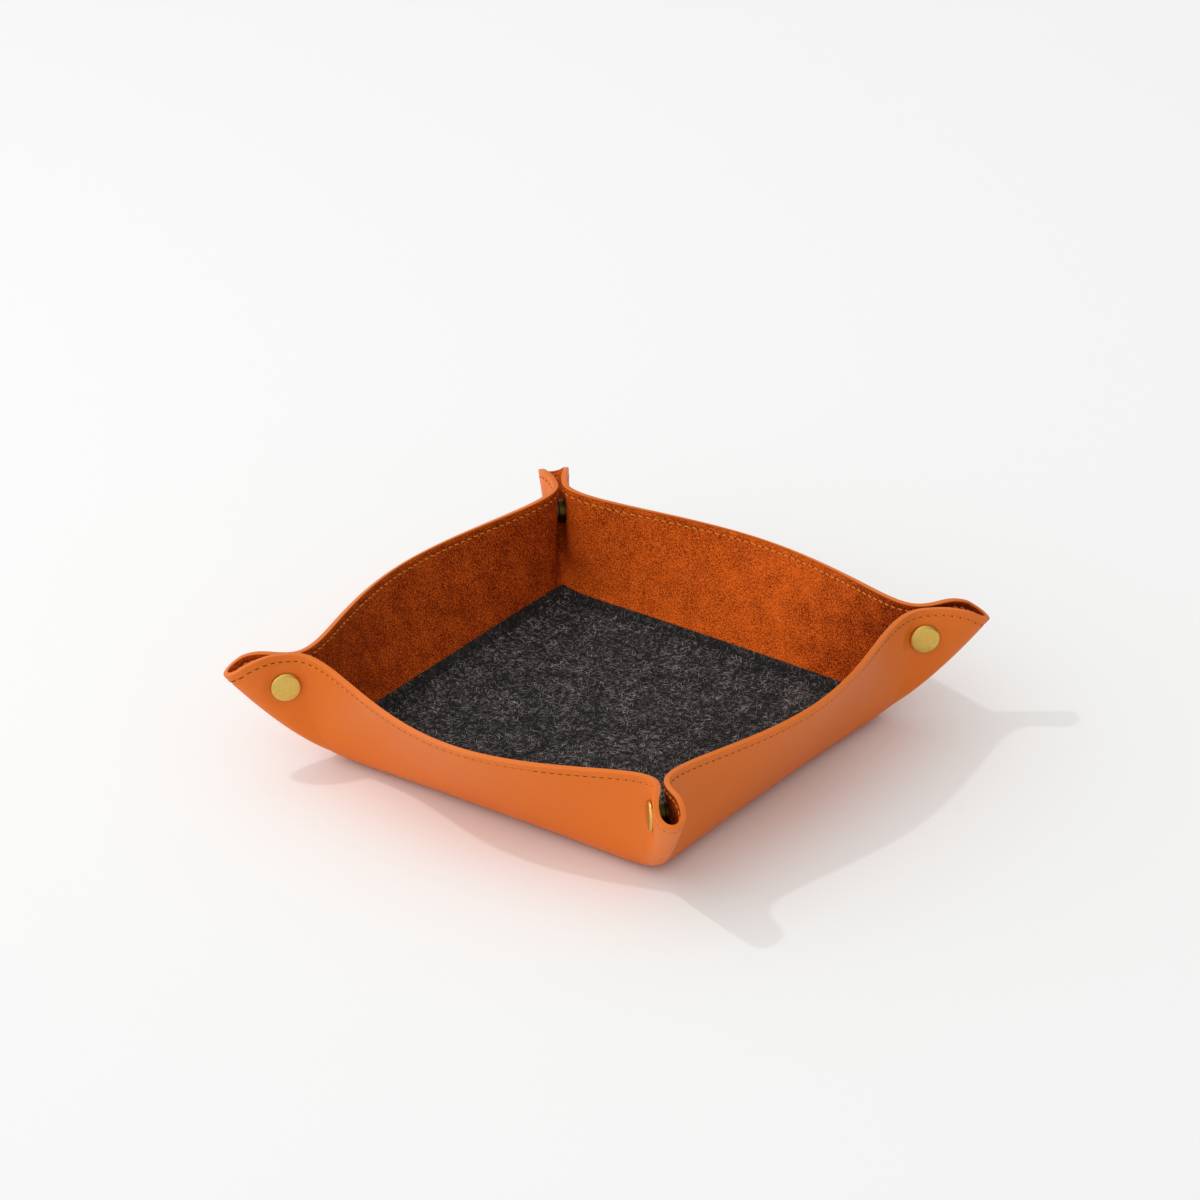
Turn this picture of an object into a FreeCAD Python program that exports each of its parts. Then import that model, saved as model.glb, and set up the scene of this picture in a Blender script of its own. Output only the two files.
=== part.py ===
import FreeCAD, Part
import Sketcher
import math
import os

# Valet tray: one square leather sheet and its suede lining, pinched at four corners into
# snapped ears, with a felt pad on the base. Millimetres, +Z up, origin at the middle of
# the underside. The front wall faces -Y and the right wall faces +X.

os.makedirs("parts", exist_ok=True)
doc = FreeCAD.newDocument("valet_tray")

# Driving sizes
sizes = doc.addObject("Spreadsheet::Sheet", "sizes")
driving = [
    ("base_half", 82.0, "centre to the fold line of a wall"),
    ("bend_run", 12.0, "start of the soft bend to the fold line"),
    ("fold_out", 6.0, "corner of the fold lines to the rounded fold, along the diagonal"),
    ("flat_out", 1.0, "corner of the bend's start to its rounded line, along the diagonal"),
    ("fold_share", 0.86, "share of a wall that keeps a straight fold line"),
    ("corner_turn", 4.0, "how softly the fold line turns at a corner"),
    ("wall_slant", 53.0, "fold line to rim, measured up the wall"),
    ("angle_front", 57.0, "front wall's angle above the table"),
    ("angle_right", 65.0, "right wall's angle above the table"),
    ("angle_back", 59.0, "back wall's angle above the table"),
    ("angle_left", 61.0, "left wall's angle above the table"),
    ("bend_share", 0.23, "share of the wall taken by the soft bend"),
    ("rim_pull", 44.0, "length over which the rim stays level"),
    ("pinch_out", 16.1, "corner of the fold lines to the rim's pinch, along the diagonal"),
    ("pinch_half", 1.9, "diagonal plane to the sheet at the rim's pinch"),
    ("pinch_rise", 12.7, "snap's axis to the height of the rim's pinch"),
    ("pinch_pull", 16.6, "length over which the rim runs along the diagonal"),
    ("ear_length", 19.5, "rim's pinch to the start of the ear's round end"),
    ("ear_half", 5.2, "diagonal plane to the sheet at the ear's round end"),
    ("ear_fall", 2.5, "drop of the rim from the pinch to the ear's round end"),
    ("ear_slope", 0.47, "slope of the rim where the round end starts"),
    ("tip_length", 7.2, "depth of the ear's round end"),
    ("tip_fall", 5.4, "drop of the rim round the ear's end"),
    ("leather_thick", 1.2, "leather sheet"),
    ("suede_thick", 1.0, "suede lining"),
    ("felt_thick", 3.5, "felt pad"),
    ("glue_gap", 0.1, "glue layer between sheets"),
    ("felt_share", 0.2, "share of a wall section that the felt covers"),
    ("snap_out_front_right", 0.9, "rim's pinch to the snap's axis, along the diagonal"),
    ("snap_out_back_right", -0.7, "the same at the back right ear"),
    ("snap_out_back_left", 0.9, "the same at the back left ear"),
    ("snap_out_front_left", 2.4, "the same at the front left ear"),
    ("snap_height", 37.5, "height of a snap's axis"),
    ("snap_half", 3.2, "diagonal plane to the sheet at a snap"),
    ("seat_radius", 8.6, "flat round seat pressed into the ear at a snap"),
    ("seat_fade", 2.2, "distance over which the seat runs out"),
    ("cap_radius", 6.25, "snap cap"),
    ("cap_height", 1.7, "height of the cap's crown"),
    ("crown_radius", 4.6, "flat middle of the cap's crown"),
    ("post_radius", 1.7, "post that holds a cap to its socket or stud"),
    ("post_grip", 0.8, "length of the post inside the socket or stud"),
    ("disc_radius", 5.2, "socket and stud flange"),
    ("socket_thick", 2.6, "socket"),
    ("flange_thick", 1.0, "stud flange"),
    ("head_radius", 2.0, "end of the stud's head"),
    ("waist_radius", 1.6, "foot of the stud's head, at its flange"),
    ("head_height", 1.9, "stud's head above its flange"),
    ("seat_gap", 0.1, "play between a snap piece and the sheet"),
    ("post_gap", 0.3, "play round a post in the sheet"),
    ("press_gap", 0.05, "play round a post in its socket or stud"),
    ("head_gap", 0.35, "play round the stud's head in the socket"),
]
for row, (alias, value, note) in enumerate(driving, start=1):
    sizes.set("A%d" % row, note)
    sizes.set("B%d" % row, str(value))
    sizes.setAlias("B%d" % row, alias)
doc.recompute()


def size(alias):
    return float(sizes.get(alias))


# Places along a diagonal, and heights, worked out from the driving sizes
worked = [
    ("pinch_reach", "=base_half * sqrt(2) + pinch_out"),
    ("snap_reach_front_right", "=pinch_reach + snap_out_front_right"),
    ("snap_reach_back_right", "=pinch_reach + snap_out_back_right"),
    ("snap_reach_back_left", "=pinch_reach + snap_out_back_left"),
    ("snap_reach_front_left", "=pinch_reach + snap_out_front_left"),
    ("fold_reach", "=base_half * sqrt(2) + fold_out"),
    ("flat_half", "=base_half - bend_run"),
    ("flat_reach", "=flat_half * sqrt(2) + flat_out"),
    ("pinch_height", "=snap_height + pinch_rise"),
    ("ear_height", "=pinch_height - ear_fall"),
    ("tip_height", "=ear_height - tip_fall"),
]
for row, (alias, formula) in enumerate(worked, start=1):
    sizes.set("C%d" % row, formula)
    sizes.setAlias("C%d" % row, alias)
doc.recompute()

HALF_TURN = math.sqrt(0.5)
WALLS = ["front", "right", "back", "left"]
CORNERS = ["front_right", "back_right", "back_left", "front_left"]


# The folded sheet as a formula
def bezier(points, share):
    rest = 1.0 - share
    weights = (rest ** 3, 3 * rest * rest * share, 3 * rest * share * share, share ** 3)
    return [sum(w * p[axis] for w, p in zip(weights, points)) for axis in range(len(points[0]))]


def ease(share):
    share = min(max(share, 0.0), 1.0)
    return share * share * (3.0 - 2.0 * share)


def from_diagonal(along, aside, height):
    return ((along - aside) * HALF_TURN, -(along + aside) * HALF_TURN, height)


def turning_line(half, reach, along):
    # line on the table from a wall's middle to its corner, square to the diagonal there
    corner = reach * HALF_TURN
    turn = size("corner_turn")
    start = (0.0, -half)
    foot = (size("fold_share") * half, -half)
    arrive = (corner - turn, -corner - turn)
    return bezier([start, foot, arrive, (corner, -corner)], along)


# Shares of half a wall where the rim is pinched and where the ear's round end starts
PINCH_AT = 0.70
TIP_AT = 0.90
EAR_PULL = 0.45


def rim_point(along, lean):
    middle_out = size("base_half") + size("wall_slant") * math.cos(math.radians(lean))
    middle_up = size("wall_slant") * math.sin(math.radians(lean))
    side = middle_out * HALF_TURN
    pull = size("rim_pull") * HALF_TURN
    pinch = size("pinch_reach")
    tip = pinch + size("ear_length")
    gap = size("pinch_half")
    if along <= PINCH_AT:
        start = (side, side, middle_up)
        level = (side + pull, side - pull, middle_up)
        arrive = (pinch - size("pinch_pull"), gap, size("pinch_height"))
        end = (pinch, gap, size("pinch_height"))
        return from_diagonal(*bezier([start, level, arrive, end], along / PINCH_AT))
    if along <= TIP_AT:
        reach = EAR_PULL * size("ear_length")
        start = (pinch, gap, size("pinch_height"))
        leave = (pinch + reach, gap, size("pinch_height"))
        arrive = (tip - reach, size("ear_half"), size("ear_height") + size("ear_slope") * reach)
        end = (tip, size("ear_half"), size("ear_height"))
        return from_diagonal(*bezier([start, leave, arrive, end], (along - PINCH_AT) / (TIP_AT - PINCH_AT)))
    angle = (along - TIP_AT) / (1.0 - TIP_AT) * math.pi / 2
    drop = size("tip_height") - size("ear_height")
    return from_diagonal(
        tip + size("tip_length") * math.sin(angle),
        size("ear_half") * math.cos(angle),
        size("ear_height") + drop * math.sin(angle),
    )


def press_seat(point, snap_reach):
    # the ear is pressed flat where a snap grips it
    along = (point[0] - point[1]) * HALF_TURN
    aside = -(point[0] + point[1]) * HALF_TURN
    away = math.hypot(along - snap_reach, point[2] + size("leather_thick") - size("snap_height"))
    free = ease((away - size("seat_radius")) / size("seat_fade"))
    pressed = size("snap_half") + (aside - size("snap_half")) * free
    return from_diagonal(along, pressed, point[2])


# The soft bend ends at this share of the wall's points, and reaches the rim at the crease
BEND_LEVEL = 0.34
CREASE_POWER = 4


def half_wall_point(along, up, lean, snap_reach):
    # along runs from 0 at the wall's middle to 1 at the crease, up from 0 on the base to 1 at the rim
    crease = along ** CREASE_POWER
    bend = size("bend_share") + (1.0 - size("bend_share")) * crease
    start = turning_line(size("flat_half"), size("flat_reach"), along)
    fold = turning_line(size("base_half"), size("fold_reach"), along)
    rim = rim_point(along, lean)
    start = (start[0], start[1], 0.0)
    fold = (fold[0], fold[1], 0.0)
    end = [f + bend * (r - f) for f, r in zip(fold, rim)]
    bend_end = BEND_LEVEL + (1.0 - BEND_LEVEL) * crease
    if up <= bend_end:
        share = up / bend_end
        rest = 1.0 - share
        weights = (rest * rest, 2 * rest * share, share * share)
        point = [sum(w * p[axis] for w, p in zip(weights, (start, fold, end))) for axis in range(3)]
    else:
        share = (up - bend_end) / (1.0 - bend_end)
        point = [e + share * (r - e) for e, r in zip(end, rim)]
    return press_seat(point, snap_reach)


def wall_point(along, up, wall):
    lean = size("angle_" + WALLS[wall])
    corner = CORNERS[wall if along > 0 else wall - 1]
    x, y, z = half_wall_point(min(abs(along), 1.0), up, lean, size("snap_reach_" + corner))
    return FreeCAD.Vector(math.copysign(x, along) if along else x, y, z)


STEP = 1e-4
SEWING = 1e-4


def skin_point(along, up, wall, offset):
    # point of the folded sheet moved by offset towards the inside of the tray
    point = wall_point(along, up, wall)
    if up <= 0.0:
        inward = FreeCAD.Vector(0, 0, 1)
    else:
        low = wall_point(along, max(up - STEP, 0.0), wall)
        high = wall_point(along, min(up + STEP, 1.0), wall)
        if abs(along) >= 1.0:
            across = FreeCAD.Vector(1, math.copysign(1, along), 0)
        else:
            before = wall_point(max(along - STEP, -1.0), up, wall)
            after = wall_point(min(along + STEP, 1.0), up, wall)
            across = after - before
        inward = (high - low).cross(across)
        inward.normalize()
    return point + inward * offset + FreeCAD.Vector(0, 0, size("leather_thick"))


# Places of the facets: shares of half a wall from its middle to the crease, and of the way up to the rim
SPACING = [0.0, 0.2, 0.36, 0.5, 0.61, 0.7, 0.78, 0.86, 0.92, 0.96, 1.0]
PAD_LEVELS = [0.0, 0.5 * size("felt_share"), size("felt_share")]
WALL_LEVELS = PAD_LEVELS + [0.36, 0.58, 0.79, 1.0]


def stations():
    # places round the tray, once round from the middle of the front wall
    places = [(0, along) for along in SPACING]
    for wall in (1, 2, 3):
        places += [(wall, -along) for along in reversed(SPACING[1:-1])]
        places += [(wall, along) for along in SPACING]
    places += [(0, -along) for along in reversed(SPACING[1:-1])]
    return places


def skin_points(offset, rows):
    rings = []
    for up in rows:
        ring = []
        for wall, along in stations():
            turn = FreeCAD.Rotation(FreeCAD.Vector(0, 0, 1), 90 * wall)
            ring.append(turn.multVec(skin_point(along, up, wall, offset)))
        rings.append(ring)
    return rings


def facets_between(points, first, second):
    # two flat facets for each place round the tray, split along the shorter diagonal
    facets = []
    count = len(first)
    for here in range(count):
        after = (here + 1) % count
        low, low_next = first[here], first[after]
        high, high_next = second[here], second[after]
        if points[low].distanceToPoint(points[high_next]) <= points[low_next].distanceToPoint(points[high]):
            facets += [(low, low_next, high_next), (low, high_next, high)]
        else:
            facets += [(low, low_next, high), (low_next, high_next, high)]
    return facets


def sheet_solid(outer_offset, inner_offset, rows):
    # both skins of the sheet as rings of points, outer skin from the base up, inner skin back down
    rings = skin_points(outer_offset, rows) + list(reversed(skin_points(inner_offset, rows)))
    points = []
    numbers = []
    for ring in rings:
        numbers.append(list(range(len(points), len(points) + len(ring))))
        points += ring
    facets = []
    for first, second in zip(numbers, numbers[1:]):
        facets += facets_between(points, first, second)
    for ring, level, turn in ((numbers[0], outer_offset, -1), (numbers[-1], inner_offset, 1)):
        middle = len(points)
        points.append(FreeCAD.Vector(0, 0, size("leather_thick") + level))
        for here, after in zip(ring, ring[1:] + ring[:1]):
            facets.append((middle, here, after)[::turn])
    skin = Part.Shape()
    skin.makeShapeFromMesh((points, facets), SEWING)
    solid = Part.Solid(skin.Shells[0])
    if solid.Volume < 0:
        solid.reverse()
    return solid.removeSplitter()


def snap_frame(corner, side):
    # turn that brings +Z to the snap's axis, towards one half of the ear
    angle = math.radians(90 * corner - 45)
    across = FreeCAD.Vector(-math.sin(angle), math.cos(angle), 0) * side
    up = FreeCAD.Vector(0, 0, 1)
    return FreeCAD.Rotation(up.cross(across), up, across, "ZXY")


def snap_place(corner):
    angle = math.radians(90 * corner - 45)
    reach = size("snap_reach_" + CORNERS[corner])
    return FreeCAD.Vector(reach * math.cos(angle), reach * math.sin(angle), size("snap_height"))


def snap_cuts(radius, start, end):
    # round cuts along each snap's axis, the same on both halves of the ear
    cuts = []
    for corner in range(4):
        for side in (-1, 1):
            axis = snap_frame(corner, side).multVec(FreeCAD.Vector(0, 0, 1))
            cuts.append(Part.makeCylinder(radius, end - start, snap_place(corner) + axis * start, axis))
    return cuts


def add_sheet(label, outer_offset, inner_offset, rows, cuts):
    solid = sheet_solid(outer_offset, inner_offset, rows)
    if cuts:
        solid = solid.cut(cuts).Solids[0]
    feature = doc.addObject("Part::Feature", label)
    feature.Label = label
    feature.Shape = solid
    return feature


# Revolved metal pieces, drawn as half sections with the radius across and the snap's axis up
def revolved(label, corner, side, outline):
    body = doc.addObject("PartDesign::Body", label)
    body.Label = label
    sketch = body.newObject("Sketcher::SketchObject", label + "_section")
    plane = [p for p in body.Origin.OriginFeatures if p.Role == "XZ_Plane"][0]
    sketch.AttachmentSupport = [(plane, "")]
    sketch.MapMode = "FlatFace"
    doc.recompute()
    value = [[evaluate(sketch, text) for text in corner_point] for corner_point in outline]
    count = len(outline)
    for index in range(count):
        here = FreeCAD.Vector(value[index][0], value[index][1], 0)
        there = FreeCAD.Vector(value[(index + 1) % count][0], value[(index + 1) % count][1], 0)
        sketch.addGeometry(Part.LineSegment(here, there), False)
    for index in range(count):
        sketch.addConstraint(Sketcher.Constraint("Coincident", index, 2, (index + 1) % count, 1))
    for index in range(count):
        bind(sketch, "DistanceX", index, value[index][0], outline[index][0])
        bind(sketch, "DistanceY", index, value[index][1], outline[index][1])
    turned = body.newObject("PartDesign::Revolution", label + "_turned")
    turned.Profile = sketch
    turned.ReferenceAxis = (sketch, ["V_Axis"])
    turned.Angle = 360
    body.Tip = turned
    body.Placement = FreeCAD.Placement(FreeCAD.Vector(), snap_frame(corner, side))
    angle = 90 * corner - 45
    reach = "sizes.snap_reach_" + CORNERS[corner]
    body.setExpression("Placement.Base.x", "%s * cos(%d deg)" % (reach, angle))
    body.setExpression("Placement.Base.y", "%s * sin(%d deg)" % (reach, angle))
    body.setExpression("Placement.Base.z", "sizes.snap_height")
    return body


def evaluate(sketch, text):
    return float(sketch.evalExpression(text))


def bind(sketch, kind, line, value, text):
    index = sketch.addConstraint(Sketcher.Constraint(kind, -1, 1, line, 1, value))
    if text != "0":
        sketch.setExpression("Constraints[%d]" % index, text)


OUTER = "sizes.snap_half + sizes.leather_thick + sizes.seat_gap"
INNER = "sizes.snap_half - sizes.glue_gap - sizes.suede_thick - sizes.seat_gap"
SOCKET_FACE = INNER + " - sizes.socket_thick"
FLANGE_FACE = INNER + " - sizes.flange_thick"


def cap(label, corner, side):
    outline = [
        ("0", INNER + " - sizes.post_grip"),
        ("sizes.post_radius", INNER + " - sizes.post_grip"),
        ("sizes.post_radius", OUTER),
        ("sizes.cap_radius", OUTER),
        ("sizes.crown_radius", OUTER + " + sizes.cap_height"),
        ("0", OUTER + " + sizes.cap_height"),
    ]
    return revolved(label, corner, side, outline)


def socket(label, corner, side):
    mouth = "sizes.head_radius + sizes.head_gap"
    well = INNER + " - sizes.post_grip"
    eye = "sizes.post_radius + sizes.press_gap"
    outline = [
        (eye, INNER),
        (eye, well),
        (mouth, well),
        (mouth, SOCKET_FACE),
        ("sizes.disc_radius", SOCKET_FACE),
        ("sizes.disc_radius", INNER),
    ]
    return revolved(label, corner, side, outline)


def stud(label, corner, side):
    eye = "sizes.post_radius + sizes.press_gap"
    well = INNER + " - sizes.post_grip"
    tip = FLANGE_FACE + " - sizes.head_height"
    outline = [
        (eye, INNER),
        (eye, well),
        ("0", well),
        ("0", tip),
        ("sizes.head_radius", tip),
        ("sizes.waist_radius", FLANGE_FACE),
        ("sizes.disc_radius", FLANGE_FACE),
        ("sizes.disc_radius", INNER),
    ]
    return revolved(label, corner, side, outline)


# The pieces
leather_out = -size("leather_thick")
suede_out = size("glue_gap")
suede_in = suede_out + size("suede_thick")
felt_out = suede_in + size("glue_gap")
felt_in = felt_out + size("felt_thick")
cap_seat = size("snap_half") + size("leather_thick")
disc_seat = size("snap_half") - suede_in
clear = 2 * cap_seat
post_holes = snap_cuts(size("post_radius") + size("post_gap"), 0.0, clear)
cap_seats = snap_cuts(size("cap_radius") + size("post_gap"), cap_seat, clear)
disc_seats = snap_cuts(size("disc_radius") + size("post_gap"), 0.0, disc_seat)
pieces = [
    add_sheet("leather_shell", leather_out, 0.0, WALL_LEVELS, post_holes + cap_seats),
    add_sheet("suede_lining", suede_out, suede_in, WALL_LEVELS, post_holes + disc_seats),
    add_sheet("felt_pad", felt_out, felt_in, PAD_LEVELS, []),
]
for corner, name in enumerate(CORNERS):
    pieces.append(cap("socket_cap_" + name, corner, -1))
    pieces.append(socket("socket_" + name, corner, -1))
    pieces.append(stud("stud_" + name, corner, 1))
    pieces.append(cap("stud_cap_" + name, corner, 1))
doc.recompute()

for item in doc.Objects:
    if "Invalid" in item.State or "Error" in item.State:
        raise RuntimeError("%s did not build: %s" % (item.Label, item.State))
for piece in pieces:
    shape = piece.Shape
    if shape.isNull() or not shape.isValid() or len(shape.Solids) != 1:
        raise RuntimeError("%s is not one valid solid" % piece.Label)
    shape.exportStep("parts/%s.step" % piece.Label)
    print(piece.Label, round(shape.Volume, 1))
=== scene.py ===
import math
import bpy
import numpy as np
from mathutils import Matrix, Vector


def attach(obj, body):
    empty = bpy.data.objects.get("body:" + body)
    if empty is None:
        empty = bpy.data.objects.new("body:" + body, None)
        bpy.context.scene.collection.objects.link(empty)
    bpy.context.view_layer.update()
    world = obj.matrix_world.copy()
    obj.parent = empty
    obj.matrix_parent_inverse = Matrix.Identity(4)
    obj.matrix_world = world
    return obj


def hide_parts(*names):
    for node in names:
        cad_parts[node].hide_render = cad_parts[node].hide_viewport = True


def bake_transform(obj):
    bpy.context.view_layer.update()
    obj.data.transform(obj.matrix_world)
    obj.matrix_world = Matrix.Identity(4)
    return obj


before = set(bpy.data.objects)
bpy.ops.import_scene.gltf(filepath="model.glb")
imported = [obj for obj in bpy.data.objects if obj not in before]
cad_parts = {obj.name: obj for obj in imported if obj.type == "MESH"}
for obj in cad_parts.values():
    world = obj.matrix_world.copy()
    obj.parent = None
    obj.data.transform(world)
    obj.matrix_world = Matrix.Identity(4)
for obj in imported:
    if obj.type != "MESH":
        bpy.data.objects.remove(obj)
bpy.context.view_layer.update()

# Valet tray: a square leather sheet with a suede lining, pinched at four corners into snapped ears,
# and a felt pad sewn to its floor. Sizes are in millimetres until a mesh is made.

mm = 0.001
eighthTurn = math.sqrt(0.5)  # sine and cosine of 45 degrees
upright = np.array([0.0, 0.0, 1.0])
scene = bpy.context.scene
# walls are counted front, right, back, left, and the right end of each, seen from outside, is the corner
# with the same count
cornerNames = ["front_right", "back_right", "back_left", "front_left"]

fold = {  # the folded sheet, its leather's upper face
    "baseHalf": 82.0,  # middle of the tray to the fold line of a wall
    "bendRun": 12.0,  # start of the soft bend to the fold line
    "foldOut": 6.0,  # how far the fold line runs out into a corner's crease
    "flatOut": 1.0,  # the same for the line where the bend starts
    "foldShare": 0.86,  # share of a wall along which both lines stay nearly straight
    "cornerTurn": 4.0,  # how sharply both lines turn into the crease
    "wallSlant": 53.0,  # fold line to rim, up the wall
    "wallAngles": (57.0, 65.0, 59.0, 61.0),  # degrees from the table
    "bendShare": 0.23,  # share of the wall's slant that the bend takes
    "bendLevel": 0.34,  # where the bend ends, as a share of the way from base to rim
    "creasePower": 4,  # how late along a wall the bend grows into the ear's crease
    "rimPull": 44.0,  # straight run of the rim from a wall's middle
    "pinchOut": 16.1,  # where two fold lines cross to the rim's pinch, along the diagonal
    "pinchHalf": 1.9,  # half the gap at the pinch
    "pinchRise": 12.7,  # snap to the rim over it
    "pinchPull": 16.6,  # straight run of the rim into the pinch
    "pinchAt": 0.70,  # share of half a wall at the pinch
    "tipAt": 0.90,  # and at the start of the ear's round tip
    "earLength": 19.5,  # pinch to the start of the tip
    "earHalf": 5.2,  # half the ear's width there
    "earFall": 2.5,  # and how much lower the rim is than at the pinch
    "earSlope": 0.47,  # how steeply the rim comes down to it
    "earPull": 0.45,  # share of the ear that follows the rim's direction at each end
    "tipLength": 7.2,
    "tipFalls": (2.8, 5.4, 5.4, 5.4),  # rim's fall at each corner's tip
    "earDrops": ((0.0, 0.0), (0.0, 1.3), (1.4, 0.0), (0.0, 1.9)),  # sag at the two ends of each wall
    "sagComes": (0.3, 0.7),  # shares of half a wall over which the sag grows and ends
    "sagGoes": (0.8, 1.0),
    "snapOuts": (0.9, -0.7, 0.9, 2.4),  # rim's pinch to each corner's snap
    "snapHeight": 37.5,
    "snapHalf": 3.2,  # middle of the ear to the leather's upper face under a snap
    "seatRadius": 6.6,  # the spot that a snap presses flat
    "seatFade": 4.2,  # and the width of its edge
    "leather": 1.2,
    "glue": 0.1,
    "suede": 1.0,
    "felt": 3.5,
}
pinchReach = fold["baseHalf"] / eighthTurn + fold["pinchOut"]
snapReaches = pinchReach + np.array(fold["snapOuts"])
pinchHeight = fold["snapHeight"] + fold["pinchRise"]
liningFace = fold["glue"] + fold["suede"]  # over the leather's upper face


def bezier(points, share):
    rest = 1.0 - share
    weights = (rest ** 3, 3 * rest * rest * share, 3 * rest * share * share, share ** 3)
    return [sum(w * p[axis] for w, p in zip(weights, points)) for axis in range(len(points[0]))]


def ease(share):
    share = np.clip(share, 0.0, 1.0)
    return share * share * (3.0 - 2.0 * share)


def easeOver(value, span):
    return ease((value - span[0]) / (span[1] - span[0]))


def unit(vectors):
    return vectors / np.maximum(np.linalg.norm(vectors, axis=-1, keepdims=True), 1e-12)


def turned(points, wall):  # from the front wall to another one
    cosine, sine = [(1, 0), (0, 1), (-1, 0), (0, -1)][wall % 4]
    x, y = points[..., 0], points[..., 1]
    return np.stack([cosine * x - sine * y, sine * x + cosine * y, points[..., 2]], axis=-1)


def fromDiagonal(along, aside, height):
    x = (along - aside) * eighthTurn
    y = -(along + aside) * eighthTurn
    return np.stack([x, y, height + 0 * along], axis=-1)


def turningLine(half, out, along):  # on the table, from a wall's middle to its corner
    corner = half + out * eighthTurn
    turn = fold["cornerTurn"]
    middle = [(0.0, -half), (fold["foldShare"] * half, -half)]
    crease = [(corner - turn, -corner - turn), (corner, -corner)]
    x, y = bezier(middle + crease, along)
    return np.stack([x, y, 0 * x], axis=-1)


def rimLine(along, wall, side=1):  # side is 1 towards a wall's right end, seen from outside, or -1
    angle = math.radians(fold["wallAngles"][wall])
    fall = np.where(side > 0, fold["tipFalls"][wall], fold["tipFalls"][wall - 1])
    sag = np.where(side > 0, fold["earDrops"][wall][1], fold["earDrops"][wall][0])
    sag = sag * easeOver(along, fold["sagComes"]) * (1 - easeOver(along, fold["sagGoes"]))
    middleOut = (fold["baseHalf"] + fold["wallSlant"] * math.cos(angle)) * eighthTurn
    middleUp = fold["wallSlant"] * math.sin(angle)
    pull = fold["rimPull"] * eighthTurn
    gap = fold["pinchHalf"]
    tip = pinchReach + fold["earLength"]
    earHeight = pinchHeight - fold["earFall"]
    pinch = (pinchReach, gap, pinchHeight)
    onWall = bezier(
        [
            (middleOut, middleOut, middleUp),
            (middleOut + pull, middleOut - pull, middleUp),
            (pinchReach - fold["pinchPull"], gap, pinchHeight),
            pinch,
        ],
        np.clip(along / fold["pinchAt"], 0, 1),
    )
    reach = fold["earPull"] * fold["earLength"]
    onEar = bezier(
        [
            pinch,
            (pinchReach + reach, gap, pinchHeight),
            (tip - reach, fold["earHalf"], earHeight + fold["earSlope"] * reach),
            (tip, fold["earHalf"], earHeight),
        ],
        np.clip((along - fold["pinchAt"]) / (fold["tipAt"] - fold["pinchAt"]), 0, 1),
    )
    turn = np.clip((along - fold["tipAt"]) / (1 - fold["tipAt"]), 0, 1) * math.pi / 2
    onTip = (
        tip + fold["tipLength"] * np.sin(turn),
        fold["earHalf"] * np.cos(turn),
        earHeight - fall * np.sin(turn),
    )
    lines = [fromDiagonal(out, aside, up - sag) for out, aside, up in (onWall, onEar, onTip)]
    beyond = np.where((along <= fold["tipAt"])[..., None], lines[1], lines[2])
    return np.where((along <= fold["pinchAt"])[..., None], lines[0], beyond)


def pressSeat(point, reach):  # the ear is pressed flat where a snap grips it
    along = (point[..., 0] - point[..., 1]) * eighthTurn
    aside = -(point[..., 0] + point[..., 1]) * eighthTurn
    away = np.hypot(along - reach, point[..., 2] + fold["leather"] - fold["snapHeight"])
    free = ease((away - fold["seatRadius"]) / fold["seatFade"])
    return fromDiagonal(along, fold["snapHalf"] + (aside - fold["snapHalf"]) * free, point[..., 2])


def sheetPoint(along, up, wall):  # along -1 to 1 across the front wall, up 0 on the base to 1 at the rim
    side = np.where(along < 0, -1.0, 1.0)
    reach = np.where(along > 0, snapReaches[wall], snapReaches[wall - 1])
    along = np.minimum(np.abs(along), 1.0)
    crease = along ** fold["creasePower"]
    start = turningLine(fold["baseHalf"] - fold["bendRun"], fold["flatOut"], along)
    foot = turningLine(fold["baseHalf"], fold["foldOut"], along)
    rim = rimLine(along, wall, side)
    bend = (fold["bendShare"] + (1.0 - fold["bendShare"]) * crease)[..., None]
    end = foot + bend * (rim - foot)
    bendEnd = (fold["bendLevel"] + (1.0 - fold["bendLevel"]) * crease)[..., None]
    up = up[..., None]
    share = np.clip(up / bendEnd, 0, 1)
    rest = 1.0 - share
    curved = rest * rest * start + 2 * rest * share * foot + share * share * end
    straight = end + (up - bendEnd) / np.maximum(1.0 - bendEnd, 1e-9) * (rim - end)
    point = pressSeat(np.where(up <= bendEnd, curved, straight), reach)
    return point * np.stack([side, np.ones_like(side), np.ones_like(side)], axis=-1)


def sheetFrame(along, up, wall):  # point, direction along the rim, direction up the sheet, inward normal
    step = 1e-4
    point = sheetPoint(along, up, wall)
    above = sheetPoint(along, np.minimum(up + step, 1), wall)
    rise = unit(above - sheetPoint(along, np.maximum(up - step, 0), wall))
    inside = np.abs(along) < 1 - 2 * step
    ahead = sheetPoint(np.where(inside, along + step, along), up, wall)
    across = ahead - sheetPoint(np.where(inside, along - step, along), up, wall)
    crease = np.stack([np.ones_like(along), np.sign(along), 0 * along], axis=-1)
    across = unit(np.where(inside[..., None], across, crease))
    return point, across, rise, unit(np.cross(rise, across))


def rimScale(along, wall):  # millimetres of sheet for one whole step of up, at the rim
    step = 0.001
    top = sheetPoint(along, np.ones_like(along), wall)
    below = sheetPoint(along, np.full_like(along, 1 - step), wall)
    return np.linalg.norm(top - below, axis=-1) / step


def skin(along, up, offset, wall):  # offset is towards the inside of the tray, from the leather's upper face
    point, across, rise, inward = sheetFrame(along, up, wall)
    inward = np.where((up <= 0)[..., None], upright, inward)
    placed = point + inward * offset + upright * fold["leather"]
    return turned(placed, wall), turned(across, wall)


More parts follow.
